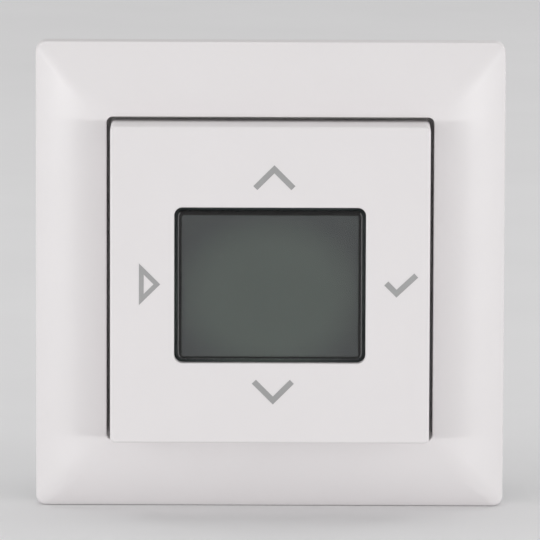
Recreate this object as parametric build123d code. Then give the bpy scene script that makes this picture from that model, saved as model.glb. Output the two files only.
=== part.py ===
from build123d import *
import os
from math import atan2, cos, degrees, hypot, sin, sqrt

os.makedirs("parts", exist_ok=True)

# Driving dimensions in mm. +Z is up and the wall plane is XZ.
# Depths run from the wall plane: positive into the room (-Y), negative into the wall box (+Y).

FRAME, FRAME_R, FRAME_RIM, FRAME_TOP, FRAME_BULGE, FRAME_WALL = 80.7, 1.8, 3.8, 9.2, 1.2, 1.7
FRAME_LAND = 0.5
OPENING, OPENING_R, LIP_OPENING, LIP_BACK, LIP_FRONT = 56.05, 1.0, 52.4, 1.3, 3.3

KEY, KEY_R, KEY_FACE, KEY_WALL, KEY_SKIRT, KEY_BACK = 54.6, 0.8, 16.5, 1.8, 1.5, 5.7
KEY_INNER = KEY_FACE - KEY_WALL
WINDOW_W, WINDOW_H, WINDOW_R = 32.7, 26.8, 1.4
KEY_EDGE, WINDOW_EDGE = 0.45, 0.25
RECESS_W, RECESS_H, RECESS_FRONT = 39.6, 35.4, 15.1
SYMBOL_H, CHEVRON_LINE, OUTLINE_LINE, CHEVRON_ARM = 0.04, 0.97, 0.8, 2.9
UP_TIP, DOWN_TIP = (0.7, 20.05), (0.55, -19.85)
BACK_ARROW = (-21.95, 2.8), (-21.95, -2.45), (-19.3, 0.17)
TICK = (20.2, 0.1), (21.6, -1.3), (24.6, 1.5)

LENS_W, LENS_H, LENS_R, LENS_FRONT, LENS_EDGE = 31.5, 25.7, 1.1, 16.2, 0.35
VIEW_W, VIEW_H, VIEW_Z = 30.2, 24.4, -0.3
LCD_FRONT, GLASS, LCD_W, LCD_H, LCD_LEDGE = 14.4, 1.1, 35.0, 31.0, 3.0
MASK, FILM = 0.1, 0.2
FILM_W, FILM_H, GUIDE_W, GUIDE_H, GUIDE_X, GUIDE_Z = 33.0, 27.4, 31.4, 27.6, -1.3, 1.4
STRIP_W, STRIP_T, STRIP_Z = 30.0, 2.2, -14.2
LED_W, LED_H, LED_FRONT, LED_X, LED_ZS = 1.2, 3.0, 10.6, 15.9, (-5, 8)

BOARD, BOARD_FRONT, BOARD_T = 50.8, 9.2, 1.6
BOARD_BACK = BOARD_FRONT - BOARD_T
HOLDER_W, HOLDER_H, HOLDER_FRONT, HOLDER_WALL = 38.6, 34.4, 14.3, 1.6
BOSS_X, BOSS_Z, BOSS_SEAT = 20.6, 20.2, 5.0

RING_W, RING_H, RING_BAR, RING_BACK, RING_FRONT = 43.2, 39.8, 2.0, 12.0, 14.0
PIN_R, PIN_DEPTH, PIN_RUN = 0.75, 13.0, 0.04
EAR_NEAR, EAR_FAR, EAR_W, EAR_BACK = 20.15, 21.5, 4.4, 11.7

KEY_ARM, SWITCH, SWITCH_TOP, SWITCH_COVER = 23.0, 4.5, 11.0, 0.2
CHIP, CHIP_T, CHIP_LEGS, CHIP_PITCH = 10.0, 1.2, 10, 0.8
CHIP_AT, BACKUP_AT, SENSOR_AT = (-8.5, 9.0), (11.0, 9.5), (12.0, -23.2)
STEM_R, STEM_TOP, STEM_COLLAR = 0.9, 12.93, 1.3
PAD_R, PAD_BACK = 1.1, 13.0

CARRIER, CARRIER_WALL, FLOOR_BACK, FLOOR_FRONT = 51.8, 1.3, 2.9, 4.3
FLANGE, FLANGE_BACK, FLANGE_FRONT = 54.9, 3.4, 5.0
TONGUE_Z, TONGUE_T, TONGUE_W, TONGUE_TIP = 24.0, 1.4, 8.0, -5.0

PLUG_Z, PLUG_PINS, PLUG_PITCH, PLUG_PIN_R, PLUG_TIP = -6.0, 8, 2.54, 0.32, -3.4

PLATE, PLATE_T, PLATE_R, PLATE_OPENING = 71.0, 1.2, 3.0, 32.0
BOX_PITCH, SLOT_R, SLOT_LENGTH, BOX_HOLE_R = 60.0, 1.8, 7.0, 1.7

HOUSING, HOUSING_ROUND, HOUSING_DEPTH, HOUSING_WALL = 45.0, 56.0, 26.0, 1.5
STEP_Z, STEP_DEPTH, LID_T, POST, POST_R = -10.5, 13.0, 1.4, 17.6, 2.6
HOUSING_EDGE, VENT_W, VENT_BACK, VENT_FRONT, VENT_PITCH = 0.8, 1.4, -21.5, -11.5, 3.6
PANEL_W, PANEL_H, PANEL_Z, PANEL_SUNK = 31.0, 16.0, 7.0, 0.3
POWER_FRONT, POWER_T = -4.0, 1.6
POWER_BACK = POWER_FRONT - POWER_T
RELAY_W, RELAY_H, RELAY_DEEP, RELAY_AT = 19.0, 15.5, 15.5, (-10.5, 6.7)
FILTER_W, FILTER_H, FILTER_DEEP, FILTER_AT = 13.0, 6.0, 12.0, (8.4, 11.2)
CAN_R, CAN_DEEP, CAN_AT = 4.0, 12.0, (9.0, 0.4)
VARISTOR_R, VARISTOR_LEFT, VARISTOR_RIGHT, VARISTOR_Z = 4.2, 15.9, 19.5, 5.2
FUSE_R, FUSE_DEEP, FUSE_AT = 4.1, 8.0, (16.6, -4.6)
BRIDGE_W, BRIDGE_H, BRIDGE_DEEP, BRIDGE_AT = 8.0, 6.4, 2.6, (-9.0, -6.2)

POLES, POLE_PITCH, BLOCK_W, BLOCK_LOW, BLOCK_HIGH = 6, 6.0, 36.8, -20.9, -11.0
BLOCK_FRONT, BLOCK_BACK, CLAMP_Z, TAIL_Z = -13.1, -25.6, -16.0, -13.8
CAGE_BACK, CAGE_FRONT = -20.5, -14.5


# Helpers


def prism(sketch, back, front):
    """A sketch in the wall plane (X right, Z up) extruded between two depths."""
    return extrude(Plane.XZ.offset(back) * sketch, front - back)


def block(w, h, back, front, x=0, z=0, r=0):
    outline = RectangleRounded(w, h, r) if r else Rectangle(w, h)
    return prism(Pos(x, z) * outline, back, front)


def disc(r, back, front, x=0, z=0):
    return prism(Pos(x, z) * Circle(r), back, front)


def frame_of(w, h, bar, back, front, r=0.0, inner_r=0.0):
    """A rectangular ring with bars of one width."""
    inner = block(w - 2 * bar, h - 2 * bar, back - 1, front + 1, r=inner_r)
    return block(w, h, back, front, r=r) - inner


def rod_x(r, x0, x1, z, depth):
    return Pos((x0 + x1) / 2, -depth, z) * Rot(0, 90, 0) * Cylinder(r, abs(x1 - x0))


def rod_z(r, z0, z1, x, depth):
    return Pos(x, -depth, (z0 + z1) / 2) * Cylinder(r, abs(z1 - z0))


def corners(x, z):
    return [(i * x, j * z) for i in (-1, 1) for j in (-1, 1)]


def fuse(shapes):
    total = shapes[0]
    for shape in shapes[1:]:
        total += shape
    return total


def cut(solid, tools):
    for tool in tools:
        solid -= tool
    return solid


def row(count, pitch):
    return [(i - (count - 1) / 2) * pitch for i in range(count)]


def screw(x, z, seat, tip, shank_r, head_r, head_h):
    """A pan-head screw with a cross recess, its head on the side of the seat away from the tip."""
    side = 1 if seat > tip else -1
    crown = seat + side * head_h
    body = disc(head_r, min(seat, crown), max(seat, crown), x, z)
    body = chamfer(body.faces().sort_by(Axis.Y)[0 if side > 0 else -1].edges(), head_h * 0.3)
    body += disc(shank_r, min(seat, tip), max(seat, tip), x, z)
    low, high = sorted((crown - side * head_h * 0.45, crown + side))
    for w, h in ((head_r, head_r * 0.3), (head_r * 0.3, head_r)):
        body -= block(w, h, low, high, x, z)
    return body


def save(name, *solids):
    pieces = [s for shape in solids for s in shape.solids()]
    export_step(Compound(children=pieces) if len(pieces) > 1 else pieces[0], f"parts/{name}.step")


# Cover frame


def crown_face(outer, rim, inner, top):
    """The section across the frame: flat over the middle, one convex arc down past each rim."""
    slope, half = atan2(top - rim, outer - inner), hypot(top - rim, outer - inner) / 2
    radius = (half**2 + FRAME_BULGE**2) / (2 * FRAME_BULGE)
    mid_u, mid_v = (outer + inner) / 2, (top + rim) / 2
    sink = radius - FRAME_BULGE
    hub_u, hub_v = mid_u - sink * sin(slope), mid_v - sink * cos(slope)
    peak = (mid_u + FRAME_BULGE * sin(slope), mid_v + FRAME_BULGE * cos(slope))
    wide, low = outer + 1, -8
    end = hub_v + sqrt(radius**2 - (wide - hub_u) ** 2)
    right = Line((wide, low), (wide, end)) + ThreePointArc((wide, end), peak, (inner, top))
    left = ThreePointArc((-inner, top), (-peak[0], peak[1]), (-wide, end)) + Line((-wide, end), (-wide, low))
    return make_face(right + Line((inner, top), (-inner, top)) + left + Line((-wide, low), (wide, low)))


def crown_solid(size, r, back, drop=0.0, inset=0.0):
    """A rounded square whose four sides all fall away along the frame's section, meeting in mitres."""
    outer, inner = FRAME / 2 - inset, OPENING / 2 + FRAME_LAND
    face = crown_face(outer, FRAME_RIM - drop, inner, FRAME_TOP - drop)
    across_x = extrude(Plane((0, 0, FRAME), x_dir=(1, 0, 0), z_dir=(0, 0, -1)) * face, 2 * FRAME)
    across_z = extrude(Plane((-FRAME, 0, 0), x_dir=(0, 0, 1), z_dir=(1, 0, 0)) * face, 2 * FRAME)
    return block(size, size, back, FRAME_TOP + 1, r=r) & across_x & across_z


def cover_frame():
    body = crown_solid(FRAME, FRAME_R, 0)
    hollow = crown_solid(FRAME - 2 * FRAME_WALL, 0.6, -1, FRAME_WALL, FRAME_WALL)
    hollow -= block(OPENING + 3.2, OPENING + 3.2, -2, FRAME_TOP + 2, r=1.6)
    body -= hollow
    body -= block(OPENING, OPENING, LIP_FRONT, FRAME_TOP + 1, r=OPENING_R)
    body -= block(LIP_OPENING, LIP_OPENING, -1, LIP_FRONT + 1, r=OPENING_R)
    body -= block(OPENING + 3.4, OPENING + 3.4, -1, LIP_BACK, r=1.6)
    return body


save("cover_frame", cover_frame())


# Key plate and its printed symbols


def key_plate():
    body = block(KEY, KEY, KEY_BACK, KEY_FACE, r=KEY_R)
    body = fillet(body.faces().sort_by(Axis.Y)[0].edges(), KEY_EDGE)
    inside = KEY - 2 * KEY_SKIRT
    body -= block(inside, inside, KEY_BACK - 1, KEY_INNER, r=0.5)
    body -= block(RECESS_W, RECESS_H, KEY_BACK - 1, RECESS_FRONT, r=1.0)
    body -= block(WINDOW_W, WINDOW_H, KEY_INNER - 1, KEY_FACE + 1, r=WINDOW_R)
    rim = body.faces().sort_by(Axis.Y)[0].inner_wires()[0]
    body = fillet(rim.edges(), WINDOW_EDGE)
    for side in (-1, 1):
        z = side * (EAR_NEAR + EAR_FAR) / 2
        body += block(EAR_W, EAR_FAR - EAR_NEAR, EAR_BACK, KEY_INNER, 0, z)
        body -= rod_z(PIN_R + PIN_RUN, z - 1.2, z + 1.2, 0, PIN_DEPTH)
        body += disc(PAD_R, PAD_BACK, KEY_INNER, 0, side * KEY_ARM)
        body += disc(PAD_R, PAD_BACK, KEY_INNER, side * KEY_ARM, 0)
    return body


def stroke(a, b):
    """One straight printed line from a to b, its square ends reaching half a width past both."""
    run = hypot(b[0] - a[0], b[1] - a[1])
    turn = degrees(atan2(b[1] - a[1], b[0] - a[0]))
    bar = Pos(run / 2, 0) * Rectangle(run + CHEVRON_LINE, CHEVRON_LINE)
    return Pos(a[0], a[1]) * Rot(0, 0, turn) * bar


def printed_line(*points):
    return fuse([stroke(a, b) for a, b in zip(points, points[1:])])


def printed_outline(*points):
    area = make_face(Polyline(*points, close=True))
    outer = offset(area, OUTLINE_LINE / 2, kind=Kind.INTERSECTION)
    return outer - offset(area, -OUTLINE_LINE / 2, kind=Kind.INTERSECTION)


def chevron(tip, way):
    """An arrow head pointing up (way 1) or down (way -1)."""
    x, z = tip
    low = z - way * CHEVRON_ARM
    return printed_line((x - CHEVRON_ARM, low), (x, z), (x + CHEVRON_ARM, low))


def key_symbols():
    symbols = [chevron(UP_TIP, 1), chevron(DOWN_TIP, -1), printed_outline(*BACK_ARROW), printed_line(*TICK)]
    return [prism(symbol, KEY_FACE, KEY_FACE + SYMBOL_H) for symbol in symbols]


save("key_plate", key_plate())
save("key_symbols", *key_symbols())


# Display stack: lens, printed mask, cell, film, light guide, contact strip, lights


def display_lens():
    body = block(LENS_W, LENS_H, LCD_FRONT + MASK, LENS_FRONT, r=LENS_R)
    return fillet(body.faces().sort_by(Axis.Y)[0].edges(), LENS_EDGE)


def display_mask():
    opening = block(VIEW_W, VIEW_H, LCD_FRONT - 1, LENS_FRONT, 0, VIEW_Z, 0.4)
    return block(LENS_W, LENS_H, LCD_FRONT, LCD_FRONT + MASK, r=LENS_R) - opening


def lcd_cell():
    front = block(LCD_W, LCD_H, LCD_FRONT - GLASS, LCD_FRONT)
    back_h = LCD_H - LCD_LEDGE
    back = block(LCD_W, back_h, LCD_FRONT - 2 * GLASS, LCD_FRONT - GLASS, 0, LCD_LEDGE / 2)
    return front, back


cell_back = LCD_FRONT - 2 * GLASS
save("display_lens", display_lens())
save("display_mask", display_mask())
save("lcd_cell", *lcd_cell())
save("reflector_film", block(FILM_W, FILM_H, cell_back - FILM, cell_back, 0, GUIDE_Z))
save("light_guide", block(GUIDE_W, GUIDE_H, BOARD_FRONT, cell_back - FILM, GUIDE_X, GUIDE_Z))
save("contact_strip", block(STRIP_W, STRIP_T, BOARD_FRONT, LCD_FRONT - GLASS, 0, STRIP_Z))
save("backlight_leds", *[block(LED_W, LED_H, BOARD_FRONT, LED_FRONT, LED_X, z) for z in LED_ZS])


def display_holder():
    body = frame_of(HOLDER_W, HOLDER_H, HOLDER_WALL, BOARD_FRONT, HOLDER_FRONT, 1.2, 0.2)
    for x, z in corners(BOSS_X, BOSS_Z):
        sx, sz = x / abs(x), z / abs(z)
        arm = block(5.6, 2.6, BOARD_FRONT, BOARD_FRONT + 1.6, x - sx * 2.4, z)
        riser = block(2.6, 4.6, BOARD_FRONT, BOARD_FRONT + 1.6, x - sx * 3.0, z - sz * 2.0)
        body += arm + riser + disc(2.4, BOARD_FRONT, BOARD_FRONT + 2.2, x, z)
        body -= disc(1.02, BOARD_FRONT - 1, BOARD_FRONT + 3, x, z)
    for side in (-1, 1):
        x0, x1 = sorted((side * (HOLDER_W / 2 - HOLDER_WALL - 0.5), side * (HOLDER_W / 2 + 0.5)))
        body -= rod_x(PIN_R + PIN_RUN, x0, x1, 0, PIN_DEPTH)
    return body


save("display_holder", display_holder())


# Tilt ring with its two pairs of pins


def tilt_ring():
    body = frame_of(RING_W, RING_H, RING_BAR, RING_BACK, RING_FRONT, 2.0, 1.0)
    body -= rod_x(PIN_R + 0.01, -RING_W, RING_W, 0, PIN_DEPTH)
    return body - rod_z(PIN_R + 0.01, -RING_H, RING_H, 0, PIN_DEPTH)


def pin_across(side):
    near, far = HOLDER_W / 2 - HOLDER_WALL + 0.2, RING_W / 2 - 0.1
    return rod_x(PIN_R, side * near, side * far, 0, PIN_DEPTH)


def pin_upright(side):
    near, far = RING_H / 2 - RING_BAR + 0.1, EAR_FAR - 0.1
    return rod_z(PIN_R, side * near, side * far, 0, PIN_DEPTH)


save("tilt_ring", tilt_ring())
save("tilt_pins_across", pin_across(-1), pin_across(1))
save("tilt_pins_upright", pin_upright(-1), pin_upright(1))


# Control board and the parts on it


def plug_xs():
    return row(PLUG_PINS, PLUG_PITCH)


def control_board():
    body = block(BOARD, BOARD, BOARD_BACK, BOARD_FRONT, r=1.5)
    for x, z in corners(BOSS_X, BOSS_Z):
        body -= disc(1.15, BOARD_BACK - 1, BOARD_FRONT + 1, x, z)
    for x in plug_xs():
        body -= disc(0.4, BOARD_BACK - 1, BOARD_FRONT + 1, x, PLUG_Z)
    return body


def switch_places():
    return {"up": (0, KEY_ARM), "down": (0, -KEY_ARM), "left": (-KEY_ARM, 0), "right": (KEY_ARM, 0)}


def switch_body(x, z):
    body = block(SWITCH, SWITCH, BOARD_FRONT, SWITCH_TOP, x, z, 0.3)
    return body - disc(STEM_COLLAR + 0.15, BOARD_FRONT + 0.4, SWITCH_TOP + 1, x, z)


def switch_cover(x, z):
    plate = block(SWITCH, SWITCH, SWITCH_TOP, SWITCH_TOP + SWITCH_COVER, x, z, 0.3)
    return plate - disc(STEM_R + 0.1, SWITCH_TOP - 1, SWITCH_TOP + 1, x, z)


def switch_stem(x, z):
    collar = disc(STEM_COLLAR, BOARD_FRONT + 0.9, BOARD_FRONT + 1.4, x, z)
    return collar + disc(STEM_R, BOARD_FRONT + 1.2, STEM_TOP, x, z)


def microcontroller(x, z):
    """A flat-pack chip on the back of the control board, with flat legs on all four sides."""
    body = block(CHIP, CHIP, BOARD_BACK - CHIP_T, BOARD_BACK - 0.1, x, z)
    for u in row(CHIP_LEGS, CHIP_PITCH):
        body += block(CHIP + 2.0, 0.24, BOARD_BACK - 0.5, BOARD_BACK, x, z + u)
        body += block(0.24, CHIP + 2.0, BOARD_BACK - 0.5, BOARD_BACK, x + u, z)
    return body


def backup_capacitor(x, z):
    """A coin-shaped store for the clock: a can with a wider base."""
    can = disc(5.4, BOARD_BACK - 2.6, BOARD_BACK, x, z)
    return can + disc(5.9, BOARD_BACK - 1.2, BOARD_BACK, x, z)


def room_sensor(x, z):
    """A glass thermistor bead lying along the board's lower edge, with its two leads."""
    depth = BOARD_FRONT + 0.8
    return rod_x(0.8, x - 1.5, x + 1.5, z, depth) + rod_x(0.2, x - 3.1, x + 3.1, z, depth)


save("control_board", control_board())
save("key_switch_bodies", *[switch_body(x, z) for x, z in switch_places().values()])
save("key_switch_covers", *[switch_cover(x, z) for x, z in switch_places().values()])
for side, (x, z) in switch_places().items():
    save(f"plunger_{side}", switch_stem(x, z))
save("microcontroller", microcontroller(*CHIP_AT))
save("backup_capacitor", backup_capacitor(*BACKUP_AT))
save("room_sensor", room_sensor(*SENSOR_AT))


def plug_header():
    body = block(PLUG_PINS * PLUG_PITCH, 2.5, 1.9, BOARD_BACK, 0, PLUG_Z)
    return cut(body, [disc(PLUG_PIN_R + 0.01, 1, BOARD_BACK + 1, x, PLUG_Z) for x in plug_xs()])


save("plug_header", plug_header())
save("plug_pins", *[disc(PLUG_PIN_R, PLUG_TIP, BOARD_FRONT, x, PLUG_Z) for x in plug_xs()])


# Front carrier: the tray that holds the front unit together and clips it to the wall part


def front_carrier():
    body = block(CARRIER, CARRIER, FLOOR_BACK, FLOOR_FRONT, r=1.2)
    body += frame_of(CARRIER, CARRIER, CARRIER_WALL, 1.5, FLOOR_BACK, 1.2, 0.6)
    body += frame_of(FLANGE, FLANGE, 3.0, FLANGE_BACK, FLANGE_FRONT, 0.8, 0.6)
    body += frame_of(CARRIER - 0.4, CARRIER - 0.4, CARRIER_WALL, FLOOR_FRONT, BOARD_BACK, 1.0, 0.6)
    for x, z in corners(BOSS_X, BOSS_Z):
        body += disc(2.9, FLOOR_BACK, BOARD_BACK, x, z)
        body -= disc(2.0, FLOOR_BACK - 1, BOSS_SEAT, x, z)
        body -= disc(1.05, BOSS_SEAT - 1, BOARD_BACK + 1, x, z)
    for side in (-1, 1):
        body += block(TONGUE_W, TONGUE_T, TONGUE_TIP, FLOOR_FRONT, 0, side * TONGUE_Z)
        for x in row(7, 4.4):
            body -= block(2.2, 3.0, 5.6, 6.9, x, side * (CARRIER / 2 - 0.6))
    return body - block(21.4, 3.5, FLOOR_BACK - 1, FLOOR_FRONT + 1, 0, PLUG_Z)


save("front_carrier", front_carrier())
save("carrier_screws", *[screw(x, z, BOSS_SEAT, 11.0, 1.0, 1.8, 1.5) for x, z in corners(BOSS_X, BOSS_Z)])


# Mounting plate and the springs that grip the front unit's tongues


def mounting_plate():
    body = block(PLATE, PLATE, 0, PLATE_T, r=PLATE_R)
    body -= block(PLATE_OPENING, PLATE_OPENING, -1, PLATE_T + 1, r=3)
    for side in (-1, 1):
        slot = SlotOverall(SLOT_LENGTH, 2 * SLOT_R)
        body -= prism(Pos(side * BOX_PITCH / 2, 0) * slot, -1, PLATE_T + 1)
        body -= disc(BOX_HOLE_R, -1, PLATE_T + 1, 0, side * BOX_PITCH / 2)
        body -= block(TONGUE_W + 1.0, 2.5, -1, PLATE_T + 1, 0, side * (TONGUE_Z + 0.15), 0.4)
    return cut(body, [disc(1.4, -1, PLATE_T + 1, x, z) for x, z in corners(POST, POST)])


def retaining_spring(side):
    near = TONGUE_Z + TONGUE_T / 2 + 0.05
    leaf = block(TONGUE_W - 1.0, 0.3, -4.4, 0, 0, side * (near + 0.15))
    foot = block(TONGUE_W - 1.0, 3.0, -0.35, 0, 0, side * (near + 1.5))
    return leaf + foot + fuse([disc(0.8, -0.9, -0.35, x, side * (near + 1.7)) for x in (-2, 2)])


save("mounting_plate", mounting_plate())
save("retaining_springs", retaining_spring(-1), retaining_spring(1))


# Rear housing in the wall box


def housing_shell(inset, back):
    """The housing's outline less an inset: a square trimmed to the round box, stepped at the terminals."""
    size, rim = HOUSING - 2 * inset, HOUSING_ROUND / 2 - inset
    step_z = STEP_Z + inset
    deep = block(size, size / 2 - step_z, -HOUSING_DEPTH + inset, back, 0, (size / 2 + step_z) / 2)
    shape = block(size, size, -STEP_DEPTH + inset, back) + deep
    return shape & disc(rim, -HOUSING_DEPTH - 1, back + 1)


def housing_vents():
    """Slots through the top wall and both side walls beside the power supply."""
    edge = HOUSING / 2
    over = [block(VENT_W, 6, VENT_BACK, VENT_FRONT, x, edge) for x in row(7, VENT_PITCH)]
    heights = [z + 7.0 for z in row(4, VENT_PITCH)]
    beside = [block(6, VENT_W, VENT_BACK, VENT_FRONT, side * edge, z) for side in (-1, 1) for z in heights]
    return over + beside


def rear_housing():
    body = housing_shell(0, 0)
    body = fillet(body.faces().sort_by(Axis.Y)[-1].edges(), HOUSING_EDGE)
    body -= housing_shell(HOUSING_WALL, 1)
    body -= block(PANEL_W, PANEL_H, -HOUSING_DEPTH - 1, -HOUSING_DEPTH + PANEL_SUNK, 0, PANEL_Z, 1.0)
    for x, z in corners(POST, POST):
        post = disc(POST_R, -STEP_DEPTH + 0.5, -LID_T, x, z) & disc(HOUSING_ROUND / 2, -20, 0)
        body += post
        body -= disc(1.27, -9.5, 0, x, z)
    slots = [block(1.6, 1.2, -STEP_DEPTH - 1, -STEP_DEPTH + 3, x, TAIL_Z) for x in row(POLES, POLE_PITCH)]
    return cut(body, slots + housing_vents())


def housing_lid():
    size = HOUSING - 2 * HOUSING_WALL - 0.2
    body = block(size, size, -LID_T, 0) & disc(HOUSING_ROUND / 2 - HOUSING_WALL - 0.1, -5, 1)
    body -= block(21.6, 5.6, -LID_T - 1, 1, 0, PLUG_Z)
    return cut(body, [disc(1.5, -LID_T - 1, 1, x, z) for x, z in corners(POST, POST)])


def power_board():
    size = HOUSING - 2 * HOUSING_WALL - 0.6
    body = block(size, size, POWER_BACK, POWER_FRONT) & disc(26.0, POWER_BACK - 1, POWER_FRONT + 1)
    for x, z in corners(POST, POST):
        body -= disc(POST_R + 0.3, POWER_BACK - 1, POWER_FRONT + 1, x, z)
    for x in row(POLES, POLE_PITCH):
        body -= block(1.5, 1.1, POWER_BACK - 1, POWER_FRONT + 1, x, TAIL_Z)
    return body


def plug_socket():
    body = block(PLUG_PINS * PLUG_PITCH + 0.6, 5.0, POWER_FRONT, 0.6, 0, PLUG_Z)
    return cut(body, [disc(PLUG_PIN_R + 0.1, PLUG_TIP - 0.2, 1, x, PLUG_Z) for x in plug_xs()])


def relay():
    body = block(RELAY_W, RELAY_H, POWER_BACK - RELAY_DEEP, POWER_BACK, *RELAY_AT)
    return chamfer(body.edges().group_by(Axis.Y)[-1], 0.5)


def mains_capacitor():
    body = block(FILTER_W, FILTER_H, POWER_BACK - FILTER_DEEP, POWER_BACK, *FILTER_AT)
    return fillet(body.edges().group_by(Axis.Y)[-1], 0.4)


def smoothing_capacitor():
    can = disc(CAN_R, POWER_BACK - CAN_DEEP, POWER_BACK, *CAN_AT)
    groove = disc(CAN_R + 0.5, POWER_BACK - 2.4, POWER_BACK - 1.8, *CAN_AT)
    groove -= disc(CAN_R - 0.3, POWER_BACK - 3, POWER_BACK - 1, *CAN_AT)
    return fillet(can.faces().sort_by(Axis.Y)[-1].edges(), 0.5) - groove


def varistor():
    body = rod_x(VARISTOR_R, VARISTOR_LEFT, VARISTOR_RIGHT, VARISTOR_Z, POWER_BACK - VARISTOR_R)
    return fillet(body.edges(), 0.5)


def mains_fuse():
    can = disc(FUSE_R, POWER_BACK - FUSE_DEEP, POWER_BACK, *FUSE_AT)
    return fillet(can.faces().sort_by(Axis.Y)[-1].edges(), 0.6)


save("rear_housing", rear_housing())
save("housing_lid", housing_lid())
save("power_board", power_board())
save("plug_socket", plug_socket())
save("relay", relay())
save("mains_capacitor", mains_capacitor())
save("smoothing_capacitor", smoothing_capacitor())
save("varistor", varistor())
save("mains_fuse", mains_fuse())
save("bridge_rectifier", block(BRIDGE_W, BRIDGE_H, POWER_BACK - BRIDGE_DEEP, POWER_BACK, *BRIDGE_AT, 0.4))


# Terminal block


def terminal_block():
    body = block(BLOCK_W, BLOCK_HIGH - BLOCK_LOW, BLOCK_BACK, BLOCK_FRONT, 0, (BLOCK_LOW + BLOCK_HIGH) / 2)
    for x in row(POLES, POLE_PITCH):
        body -= block(4.6, 6.2, -20.6, BLOCK_FRONT + 1, x, CLAMP_Z)
        body -= disc(2.1, BLOCK_BACK - 1, -20, x, CLAMP_Z)
        body -= block(3.4, 3, -19.2, -15.8, x, BLOCK_LOW)
    for x in row(POLES - 1, POLE_PITCH):
        body -= block(0.7, 20, BLOCK_BACK - 1, BLOCK_BACK + 1.6, x, CLAMP_Z)
    return body


def clamp_cage(x):
    cage = block(4.4, 6.0, CAGE_BACK, CAGE_FRONT, x, CLAMP_Z)
    cage -= block(3.4, 7, CAGE_BACK + 1.2, CAGE_FRONT - 1.2, x, CLAMP_Z)
    return cage - disc(1.27, CAGE_BACK - 1, CAGE_BACK + 2, x, CLAMP_Z)


pole_xs = row(POLES, POLE_PITCH)
save("terminal_block", terminal_block())
save("terminal_cages", *[clamp_cage(x) for x in pole_xs])
save("terminal_tails", *[block(1.2, 0.8, CAGE_FRONT, -3.2, x, TAIL_Z) for x in pole_xs])
save("terminal_screws", *[screw(x, CLAMP_Z, -22.6, -18.0, 1.25, 1.9, 1.8) for x in pole_xs])
save("housing_screws", *[screw(x, z, PLATE_T, -8.0, 1.25, 2.3, 1.2) for x, z in corners(POST, POST)])
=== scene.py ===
import math

import bmesh
import bpy
from mathutils import Matrix, Quaternion, Vector

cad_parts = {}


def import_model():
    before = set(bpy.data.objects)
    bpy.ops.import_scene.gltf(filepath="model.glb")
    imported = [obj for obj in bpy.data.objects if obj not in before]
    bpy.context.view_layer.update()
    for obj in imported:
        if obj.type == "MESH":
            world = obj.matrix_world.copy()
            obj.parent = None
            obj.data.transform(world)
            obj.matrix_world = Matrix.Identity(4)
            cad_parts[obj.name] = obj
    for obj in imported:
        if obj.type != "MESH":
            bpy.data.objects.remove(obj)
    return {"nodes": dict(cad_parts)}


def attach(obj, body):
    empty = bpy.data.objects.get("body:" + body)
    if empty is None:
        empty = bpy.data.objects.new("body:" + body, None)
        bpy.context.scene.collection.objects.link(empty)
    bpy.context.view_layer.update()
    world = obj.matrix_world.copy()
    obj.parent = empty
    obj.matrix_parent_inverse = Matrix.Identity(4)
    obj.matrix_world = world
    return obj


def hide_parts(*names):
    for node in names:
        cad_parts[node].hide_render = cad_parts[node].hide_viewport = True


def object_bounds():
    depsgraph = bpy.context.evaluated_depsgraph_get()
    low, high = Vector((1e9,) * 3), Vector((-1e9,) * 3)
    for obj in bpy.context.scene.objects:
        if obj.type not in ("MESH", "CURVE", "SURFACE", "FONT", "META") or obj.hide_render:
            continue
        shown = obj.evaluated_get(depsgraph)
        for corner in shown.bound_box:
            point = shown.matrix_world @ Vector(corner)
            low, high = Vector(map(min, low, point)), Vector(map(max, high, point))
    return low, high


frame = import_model()
cad_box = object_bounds()
NODES = frame["nodes"]
MM = 0.001

# Sizes in millimetres, the same driving dimensions as the CAD. Depths run from the wall into the room.
FRAME_HALF, FRAME_RIM, FRAME_TOP, FRAME_BULGE, FRAME_WALL, FRAME_LAND = 40.35, 3.8, 9.2, 1.2, 1.7, 0.5
OPENING_HALF, OPENING_R, LIP_HALF, LIP_BACK, LIP_FRONT = 28.025, 1.0, 26.2, 1.3, 3.3
LENS_HALF_W, LENS_HALF_H, LENS_R, LENS_BACK, LENS_FRONT, LENS_BEVEL = 15.75, 12.85, 1.1, 14.5, 16.2, 0.22
UNDER_START, COLLAR_WALL, MITRE_RIM, MITRE_MIDDLE = 2.2, 1.6, 1.8, 0.9
OPENING_EDGE, RIM_EDGE, BACK_EDGE = 0.2, 0.9, 0.2
UNDER_EDGE, COLLAR_EDGE, INNER_EDGE = 0.15, 0.3, 0.2
ARC_STEPS, SWEEP_STEPS = 6, 14
# BEVEL_FACING picks the lens bevel faces that get the painted highlight.
BEVEL_FACING = (-0.9, -0.1)  # how far into the room a face of the lens bevel looks

# The display: its own grey-green in the middle, a painted shade towards its edges that stands for the shadow
# of its recess, and how far the unshaded middle reaches.
LCD_PAINTED_SHADE, LCD_MIDDLE = (0.04, 0.05, 0.05), (0.094, 0.122, 0.104)
LCD_UNSHADED_W, LCD_UNSHADED_H, LCD_UNSHADED_Z = 18.5, 15.5, -1.8

# In metres: the camera's place and the point it looks at, the floor's half size and its gap below the part.
# Roll is in degrees, the lens in millimetres of focal length.
CAMERA_AT, CAMERA_TO, CAMERA_ROLL, CAMERA_LENS = (0, -1.33094, 0.19859), (0, 0, 0.00025), 0.19, 519.35
FLOOR_SIZE, FLOOR_GAP, FLOOR_CELLS = 3.0, 0.00002, 40


# Mesh building


def rounded_rect(half_w, half_h, radius, depth):
    """Corner arcs of one rounded rectangle parallel to the wall, anticlockwise seen from the room."""
    points = []
    for i, (sx, sz) in enumerate(((1, 1), (-1, 1), (-1, -1), (1, -1))):
        cx, cz = sx * (half_w - radius), sz * (half_h - radius)
        for step in range(ARC_STEPS + 1):
            a = math.pi / 2 * (i + step / ARC_STEPS)
            points.append((cx + radius * math.cos(a), -depth, cz + radius * math.sin(a)))
    return points


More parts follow.
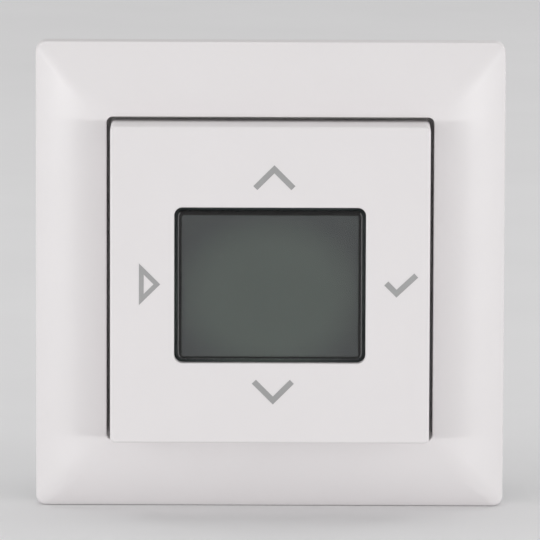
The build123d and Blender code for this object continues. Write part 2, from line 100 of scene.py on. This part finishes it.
def soften(path, radii, steps=5):
    """A path of (size, depth) points with its corners turned into arcs of the given radii."""
    result = []
    for i, (point, radius) in enumerate(zip(path, radii)):
        p = Vector(point)
        if not radius:
            result.append(tuple(p))
            continue
        a = (Vector(path[i - 1]) - p).normalized()
        b = (Vector(path[(i + 1) % len(path)]) - p).normalized()
        half = a.angle(b) / 2
        reach = radius / math.tan(half)
        hub = p + (a + b).normalized() * (radius / math.sin(half))
        start, end = p + a * reach - hub, p + b * reach - hub
        turn = start.angle_signed(end)
        for step in range(steps + 1):
            arm = start.copy()
            arm.rotate(Matrix.Rotation(-turn * step / steps, 2))
            result.append(tuple(hub + arm))
    return result


def finish_mesh(bm, name, sharp=40):
    """Turns a bmesh into a linked object, smooth except over edges sharper than the given degrees."""
    bmesh.ops.recalc_face_normals(bm, faces=bm.faces)
    for face in bm.faces:
        face.smooth = True
    for edge in bm.edges:
        edge.smooth = len(edge.link_faces) != 2 or edge.calc_face_angle(0) < math.radians(sharp)
    mesh = bpy.data.meshes.new(name)
    bm.to_mesh(mesh)
    bm.free()
    piece = bpy.data.objects.new(name, mesh)
    bpy.context.scene.collection.objects.link(piece)
    return piece


def loft(name, rings, closed=False):
    """Skins a list of rings. A closed loft joins its last ring to its first; an open one is capped."""
    bm = bmesh.new()
    loops = [[bm.verts.new([c * MM for c in p]) for p in ring] for ring in rings]
    pairs = list(zip(loops, loops[1:] + loops[:1])) if closed else list(zip(loops, loops[1:]))
    for near, far in pairs:
        for i in range(len(near)):
            j = (i + 1) % len(near)
            bm.faces.new((near[i], near[j], far[j], far[i]))
    if not closed:
        bm.faces.new(loops[0])
        bm.faces.new(loops[-1])
    return finish_mesh(bm, name)


def settle(piece, body, slot, material, *nodes):
    """Puts a finished piece on its body, with its finish, in place of its CAD nodes."""
    piece.data.materials.append(material)
    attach(piece, body)
    if nodes:
        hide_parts(*nodes)
    return piece


# Materials


class Shader:
    """A node material: a principled shader with helpers that feed it procedural patterns."""

    def __init__(self, name, roughness=0.4, metallic=0.0, **inputs):
        self.material = bpy.data.materials.new(name)
        self.material.use_nodes = True
        self.tree = self.material.node_tree
        self.shader = self.tree.nodes["Principled BSDF"]
        self.set(Roughness=roughness, Metallic=metallic)
        for key, value in inputs.items():
            self.set(**{key.replace("_", " "): value})
        self.coords = self.add("ShaderNodeTexCoord").outputs["Object"]

    def set(self, **values):
        for key, value in values.items():
            self.shader.inputs[key].default_value = value

    def add(self, kind, **settings):
        node = self.tree.nodes.new(kind)
        for key, value in settings.items():
            setattr(node, key, value)
        return node

    def link(self, a, b):
        self.tree.links.new(a, b)

    def noise(self, size_mm, detail=3.0, stretch=(1, 1, 1), rough=0.5):
        """Noise whose features are about size_mm across, stretched along the axes."""
        place = self.add("ShaderNodeMapping")
        place.inputs["Scale"].default_value = [1 / s for s in stretch]
        self.link(self.coords, place.inputs["Vector"])
        node = self.add("ShaderNodeTexNoise")
        node.inputs["Scale"].default_value = 1000.0 / size_mm
        node.inputs["Detail"].default_value = detail
        node.inputs["Roughness"].default_value = rough
        self.link(place.outputs["Vector"], node.inputs["Vector"])
        return node.outputs["Fac"]

    def spread(self, source, low, high, start=0.3, end=0.7):
        """Maps a pattern onto a range of values."""
        node = self.add("ShaderNodeMapRange")
        for key, value in (("From Min", start), ("From Max", end), ("To Min", low), ("To Max", high)):
            node.inputs[key].default_value = value
        self.link(source, node.inputs["Value"])
        return node.outputs["Result"]

    def ramp(self, source, *stops):
        """Colours by pattern value: (position, colour) pairs."""
        node = self.add("ShaderNodeValToRGB")
        ramp = node.color_ramp
        while len(ramp.elements) < len(stops):
            ramp.elements.new(0.5)
        for element, (position, colour) in zip(ramp.elements, stops):
            element.position = position
            element.color = (*colour, 1)
        self.link(source, node.inputs["Fac"])
        return node.outputs["Color"]

    def edges(self, width_mm):
        """1 on flat faces, falling towards 0.7 within width_mm of an edge."""
        rounded = self.add("ShaderNodeBevel", samples=4)
        rounded.inputs["Radius"].default_value = width_mm * MM
        facing = self.add("ShaderNodeVectorMath", operation="DOT_PRODUCT")
        self.link(rounded.outputs["Normal"], facing.inputs[0])
        self.link(self.add("ShaderNodeNewGeometry").outputs["Normal"], facing.inputs[1])
        return facing.outputs["Value"]

    def colour(self, source, *stops):
        self.link(self.ramp(source, *stops), self.shader.inputs["Base Color"])
        return self

    def wear(self, width_mm, rubbed):
        """Blends the base colour into a rubbed one along edges, in an uneven line."""
        worn = self.spread(self.edges(width_mm), 1.0, 0.0, 0.8, 0.99)
        uneven = self.add("ShaderNodeMath", operation="MULTIPLY")
        self.link(worn, uneven.inputs[0])
        self.link(self.spread(self.noise(1.2, 4), 0.0, 1.0, 0.35, 0.6), uneven.inputs[1])
        mix = self.add("ShaderNodeMix", data_type="RGBA")
        self.link(uneven.outputs["Value"], mix.inputs["Factor"])
        self.link(self.shader.inputs["Base Color"].links[0].from_socket, mix.inputs["A"])
        mix.inputs["B"].default_value = (*rubbed, 1)
        self.link(mix.outputs["Result"], self.shader.inputs["Base Color"])
        return self

    def roughness(self, source, low, high):
        self.link(self.spread(source, low, high), self.shader.inputs["Roughness"])
        return self

    def bump(self, source, height_mm, strength=1.0):
        node = self.add("ShaderNodeBump")
        node.inputs["Strength"].default_value = strength
        node.inputs["Distance"].default_value = height_mm * MM
        self.link(source, node.inputs["Height"])
        if self.shader.inputs["Normal"].is_linked:
            self.link(self.shader.inputs["Normal"].links[0].from_socket, node.inputs["Normal"])
        self.link(node.outputs["Normal"], self.shader.inputs["Normal"])
        return self


def shades(colour, spread):
    """A darker and a lighter version of a colour."""
    return tuple(c * (1 - spread) for c in colour), tuple(min(1, c * (1 + spread)) for c in colour)


def moulded(name, colour, rough=0.35, grain_mm=0.4, grain_depth=0.002, mottle=0.03, rub=0.0, **inputs):
    """Moulded plastic: faint mottling, uneven gloss, a fine grain and, where it has rub, paler worn edges."""
    m = Shader(name, rough, **inputs)
    dark, light = shades(colour, mottle)
    m.colour(m.noise(9.0, 2), (0.3, dark), (0.7, light))
    m.roughness(m.noise(5.0, 2), rough * 0.94, rough * 1.06)
    if rub:
        m.wear(0.35, shades(colour, rub)[1])
    return m.bump(m.noise(grain_mm, 2), grain_depth).material


def metal(name, colour, rough=0.3, stretch=(1, 1, 1), streak_mm=0.3, depth=0.002, spread=0.12):
    """Sheet or turned metal with streaks along its working direction, dull spots and bright edges."""
    m = Shader(name, rough, 1.0)
    dark, light = shades(colour, spread)
    m.colour(m.noise(4.0, 5), (0.3, dark), (0.7, light))
    m.roughness(m.noise(1.5, 5, stretch), rough * 0.7, rough * 1.4)
    m.wear(0.2, shades(colour, 0.3)[1])
    return m.bump(m.noise(streak_mm, 3, stretch), depth).material


def paint(node, material):
    """Gives a CAD node its finish, in every slot that it has."""
    slots = NODES[node].data.materials
    for i in range(len(slots)):
        slots[i] = material
    if not slots:
        slots.append(material)


WHITE = (0.765, 0.742, 0.747)
white_cover = moulded("cover_white", WHITE, 0.42, 0.5, 0.0012, 0.004)
white_key = moulded("key_white", WHITE, 0.42, 0.5, 0.0012, 0.004)
print_grey = moulded("print_grey", (0.345, 0.345, 0.345), 0.5, 0.08, 0.001, 0.05)
mask_black = moulded("mask_black", (0.006, 0.006, 0.007), 0.35, 0.3, 0.001)


def clear_lens():
    """Clear acrylic, polished, with the faintest haze of handling."""
    m = Shader("lens_clear", 0.03, Transmission_Weight=1.0, IOR=1.49)
    m.colour(m.noise(12.0, 2), (0.3, (0.955, 0.965, 0.96)), (0.7, (0.97, 0.98, 0.975)))
    m.roughness(m.noise(7.0, 2), 0.015, 0.03)
    return m.material


def liquid_crystal():
    """A switched-off reflective display: grey-green, with a painted shade that darkens it towards its edges
    and most at the top, standing for the shadow of its recess.
    """
    m = Shader("lcd_grey", 0.55)
    place = m.add("ShaderNodeMapping")
    place.inputs["Location"].default_value = (0, 0, -LCD_UNSHADED_Z / LCD_UNSHADED_H)
    place.inputs["Scale"].default_value = (1000 / LCD_UNSHADED_W, 0, 1000 / LCD_UNSHADED_H)
    m.link(m.coords, place.inputs["Vector"])
    # Painted shade: a spherical gradient around a middle set a little low darkens the colour towards the
    # edges.
    painted_shade_gradient = m.add("ShaderNodeTexGradient", gradient_type="SPHERICAL")
    m.link(place.outputs["Vector"], painted_shade_gradient.inputs["Vector"])
    m.colour(painted_shade_gradient.outputs["Fac"], (0.05, LCD_PAINTED_SHADE), (0.42, LCD_MIDDLE))
    m.roughness(m.noise(4.0, 2), 0.5, 0.6)
    return m.material


lens_clear = clear_lens()
# A painted highlight: a grey on the lens bevel's side runs that stands for their reflection of the side
# lights.
painted_lens_highlight = moulded("painted_lens_highlight", (0.085, 0.085, 0.085), 0.5, 0.2, 0.002, 0.1)
lcd_grey = liquid_crystal()
film_silver = metal("film_silver", (0.75, 0.77, 0.76), 0.35)
guide_clear = moulded("guide_clear", (0.8, 0.82, 0.82), 0.4, 0.5, 0.002)
rubber_grey = moulded("rubber_grey", (0.05, 0.05, 0.055), 0.7, 0.2, 0.006)
led_yellow = moulded("led_yellow", (0.75, 0.6, 0.12), 0.4)
holder_black = moulded("holder_black", (0.016, 0.016, 0.018), 0.5, 0.25, 0.006, rub=1.5)
ring_natural = moulded("ring_natural", (0.6, 0.58, 0.52), 0.4)
steel_pin = metal("pin_steel", (0.62, 0.62, 0.63), 0.22)
chip_black = moulded("chip_black", (0.018, 0.018, 0.019), 0.55, 0.12, 0.006)
board_green = moulded("board_green", (0.012, 0.1, 0.035), 0.3, 0.9, 0.02, 0.18, Coat_Weight=0.4)
switch_black = moulded("switch_black", (0.02, 0.02, 0.022), 0.45)
switch_steel = metal("switch_steel", (0.66, 0.66, 0.66), 0.28)
stem_grey = moulded("stem_grey", (0.16, 0.16, 0.17), 0.45)
can_steel = metal("can_steel", (0.68, 0.67, 0.65), 0.25)
sensor_glass = moulded("sensor_glass", (0.35, 0.08, 0.03), 0.1, Coat_Weight=1.0)
connector_black = moulded("connector_black", (0.018, 0.018, 0.02), 0.5, 0.3, 0.006)
contact_gold = metal("contact_gold", (0.85, 0.62, 0.22), 0.2)
carrier_white = moulded("carrier_white", (0.6, 0.595, 0.58), 0.42, 0.5, 0.006, rub=0.12)
screw_steel = metal("screw_steel", (0.6, 0.6, 0.6), 0.28)
plate_steel = metal("plate_steel", (0.62, 0.63, 0.64), 0.34, (1, 1, 12), 0.5, 0.006)
spring_steel = metal("spring_steel", (0.42, 0.4, 0.38), 0.3, (1, 10, 1))
housing_grey = moulded("housing_grey", (0.46, 0.465, 0.47), 0.55, 0.35, 0.02, 0.05, rub=0.35)
relay_black = moulded("relay_black", (0.02, 0.022, 0.024), 0.3, rub=1.5)
box_yellow = moulded("box_yellow", (0.68, 0.5, 0.06), 0.3)
can_sleeve = moulded("can_sleeve", (0.015, 0.02, 0.06), 0.25)
varistor_blue = moulded("varistor_blue", (0.02, 0.08, 0.36), 0.3, 0.6, 0.02)
fuse_brown = moulded("fuse_brown", (0.14, 0.06, 0.03), 0.3)
block_grey = moulded("block_grey", (0.24, 0.25, 0.26), 0.5, 0.4, 0.012, 0.05, rub=0.5)
clamp_brass = metal("clamp_brass", (0.75, 0.58, 0.28), 0.3)
tail_tin = metal("tail_tin", (0.66, 0.66, 0.64), 0.3)
clamp_screw = metal("clamp_screw", (0.7, 0.66, 0.5), 0.28)

FINISHES = {
    "key_symbols": print_grey,
    "display_mask": mask_black,
    "lcd_cell": lcd_grey,
    "reflector_film": film_silver,
    "light_guide": guide_clear,
    "contact_strip": rubber_grey,
    "backlight_leds": led_yellow,
    "display_holder": holder_black,
    "tilt_ring": ring_natural,
    "tilt_pins_across": steel_pin,
    "tilt_pins_upright": steel_pin,
    "control_board": board_green,
    "power_board": board_green,
    "key_switch_bodies": switch_black,
    "key_switch_covers": switch_steel,
    "plunger_up": stem_grey,
    "plunger_down": stem_grey,
    "plunger_left": stem_grey,
    "plunger_right": stem_grey,
    "microcontroller": chip_black,
    "bridge_rectifier": chip_black,
    "backup_capacitor": can_steel,
    "room_sensor": sensor_glass,
    "plug_header": connector_black,
    "plug_socket": connector_black,
    "plug_pins": contact_gold,
    "front_carrier": carrier_white,
    "carrier_screws": screw_steel,
    "housing_screws": screw_steel,
    "mounting_plate": plate_steel,
    "retaining_springs": spring_steel,
    "rear_housing": housing_grey,
    "housing_lid": housing_grey,
    "relay": relay_black,
    "mains_capacitor": box_yellow,
    "smoothing_capacitor": can_sleeve,
    "varistor": varistor_blue,
    "mains_fuse": fuse_brown,
    "terminal_block": block_grey,
    "terminal_cages": clamp_brass,
    "terminal_tails": tail_tin,
    "terminal_screws": clamp_screw,
    "key_plate": white_key,
    "cover_frame": white_cover,
    "display_lens": lens_clear,
}
for node, finish in FINISHES.items():
    paint(node, finish)


# Cover frame: one moulded ring with softened mitres


def crown(outer, rim, inner, top):
    """Points of the frame's convex sweep, from the opening out to the rim."""
    slope, half = math.atan2(top - rim, outer - inner), math.hypot(top - rim, outer - inner) / 2
    radius = (half**2 + FRAME_BULGE**2) / (2 * FRAME_BULGE)
    sink = radius - FRAME_BULGE
    hub = Vector(((outer + inner) / 2 - sink * math.sin(slope), (top + rim) / 2 - sink * math.cos(slope)))
    a0, a1 = (math.atan2(v - hub.y, u - hub.x) for u, v in ((inner, top), (outer, rim)))
    return [
        (hub.x + radius * math.cos(a), hub.y + radius * math.sin(a))
        for a in (a0 + (a1 - a0) * i / SWEEP_STEPS for i in range(SWEEP_STEPS + 1))
    ]


def mitre_radius(size):
    """Corner radius in plan: tight at the opening, broadest over the slope, a little tighter at the rim."""
    t = max(0.0, min(1.0, (size - OPENING_HALF) / (FRAME_HALF - OPENING_HALF)))
    ends = OPENING_R + (MITRE_RIM - OPENING_R) * t
    return ends + MITRE_MIDDLE * math.sin(math.pi * t) ** 1.5


def cover_frame():
    sweep = crown(FRAME_HALF, FRAME_RIM, OPENING_HALF + FRAME_LAND, FRAME_TOP)
    wall = FRAME_WALL
    under = crown(FRAME_HALF - wall, FRAME_RIM - wall, OPENING_HALF + FRAME_LAND, FRAME_TOP - wall)
    under = [(u, v) for u, v in under if u > OPENING_HALF + UNDER_START]
    collar = OPENING_HALF + COLLAR_WALL
    path = [(OPENING_HALF, FRAME_TOP), *sweep[1:-1], (FRAME_HALF, FRAME_RIM), (FRAME_HALF, 0)]
    radii = [OPENING_EDGE] + [0] * (len(sweep) - 2) + [RIM_EDGE, BACK_EDGE]
    path += [(FRAME_HALF - wall, 0), *reversed(under), (collar, under[0][1])]
    radii += [UNDER_EDGE] + [0] * len(under) + [COLLAR_EDGE]
    path += [(collar, LIP_BACK), (LIP_HALF, LIP_BACK), (LIP_HALF, LIP_FRONT), (OPENING_HALF, LIP_FRONT)]
    radii += [INNER_EDGE] * 4
    rings = [rounded_rect(u, u, mitre_radius(u), v) for u, v in soften(path, radii)]
    return loft("cover_frame_shell", rings, closed=True)


def bevelled_lens():
    """The display's clear cover: polished faces and a bevelled front edge; its two side runs get a painted
    highlight afterwards.
    """
    rings = []
    for inset, depth in ((0, LENS_BACK), (0, LENS_FRONT - LENS_BEVEL), (LENS_BEVEL, LENS_FRONT)):
        rings.append(rounded_rect(LENS_HALF_W - inset, LENS_HALF_H - inset, LENS_R - inset, depth))
    return loft("display_lens_clear", rings)


def paint_bevel_highlight(lens):
    """Gives the bevel's left and right runs a grey that paints in the highlight of a polished edge."""
    lens.data.materials.append(painted_lens_highlight)
    for face in lens.data.polygons:
        bevel = BEVEL_FACING[0] < face.normal.y < BEVEL_FACING[1]
        if bevel and abs(face.normal.x) > abs(face.normal.z):
            face.material_index = 1


settle(cover_frame(), "front_unit", "cover_white", white_cover, "cover_frame")
# The lens bevel's side runs get a grey that paints in their highlight.
paint_bevel_highlight(settle(bevelled_lens(), "front_unit", "lens_clear", lens_clear, "display_lens"))


# Camera, light and floor


def camera():
    """Looks down a little from far off, aimed at the middle of the wall plane, with a slight roll."""
    data = bpy.data.cameras.new("camera")
    data.sensor_width = 36
    data.lens = CAMERA_LENS
    data.clip_start, data.clip_end = 0.05, 20
    ob = bpy.data.objects.new("camera", data)
    bpy.context.scene.collection.objects.link(ob)
    ob.location = CAMERA_AT
    aim = (Vector(CAMERA_TO) - Vector(CAMERA_AT)).to_track_quat("-Z", "Y")
    ob.rotation_euler = (aim @ Quaternion((0, 0, 1), math.radians(CAMERA_ROLL))).to_euler()
    bpy.context.scene.camera = ob


def soft_box(name, where, size, power):
    """A rectangular light aimed at the middle of the frame."""
    data = bpy.data.lights.new(name, "AREA")
    data.shape = "RECTANGLE"
    data.size, data.size_y = size
    data.energy = power
    ob = bpy.data.objects.new(name, data)
    bpy.context.scene.collection.objects.link(ob)
    ob.location = where
    ob.rotation_euler = (-Vector(where)).to_track_quat("-Z", "Y").to_euler()


def floor():
    """A matt pale floor just under the part's lowest edge."""
    bm = bmesh.new()
    bmesh.ops.create_grid(bm, x_segments=FLOOR_CELLS, y_segments=FLOOR_CELLS, size=FLOOR_SIZE)
    for v in bm.verts:
        v.co.z = cad_box[0].z - FLOOR_GAP
    piece = finish_mesh(bm, "floor")
    m = Shader("floor_pale", 0.7, Specular_IOR_Level=0.0)
    m.colour(m.noise(60, 4), (0.3, (0.84, 0.84, 0.845)), (0.7, (0.87, 0.87, 0.875)))
    m.bump(m.noise(1.5, 3), 0.02)
    piece.data.materials.append(m.material)


def world(strength, colour):
    w = bpy.data.worlds.new("studio")
    w.use_nodes = True
    background = w.node_tree.nodes["Background"]
    background.inputs["Color"].default_value = (*colour, 1)
    background.inputs["Strength"].default_value = strength
    bpy.context.scene.world = w


camera()
floor()
world(0.42, (1.0, 0.99, 0.99))
soft_box("left_box", (-1.3, -0.5, 0.2), (1.0, 1.0), 6.7)
soft_box("right_box", (1.3, -0.5, 0.2), (1.0, 1.0), 5.8)
soft_box("left_front", (-1.25, -1.1, 0.0), (0.8, 0.1), 7.3)
soft_box("right_front", (1.25, -1.1, 0.0), (0.8, 0.1), 8.0)
soft_box("top_box", (0, 0.25, 1.3), (1.6, 0.6), 5.2)
soft_box("rear_box", (0.6, 1.2, 0.35), (1.2, 0.5), 1.2)
bpy.context.scene.view_settings.view_transform = "Standard"
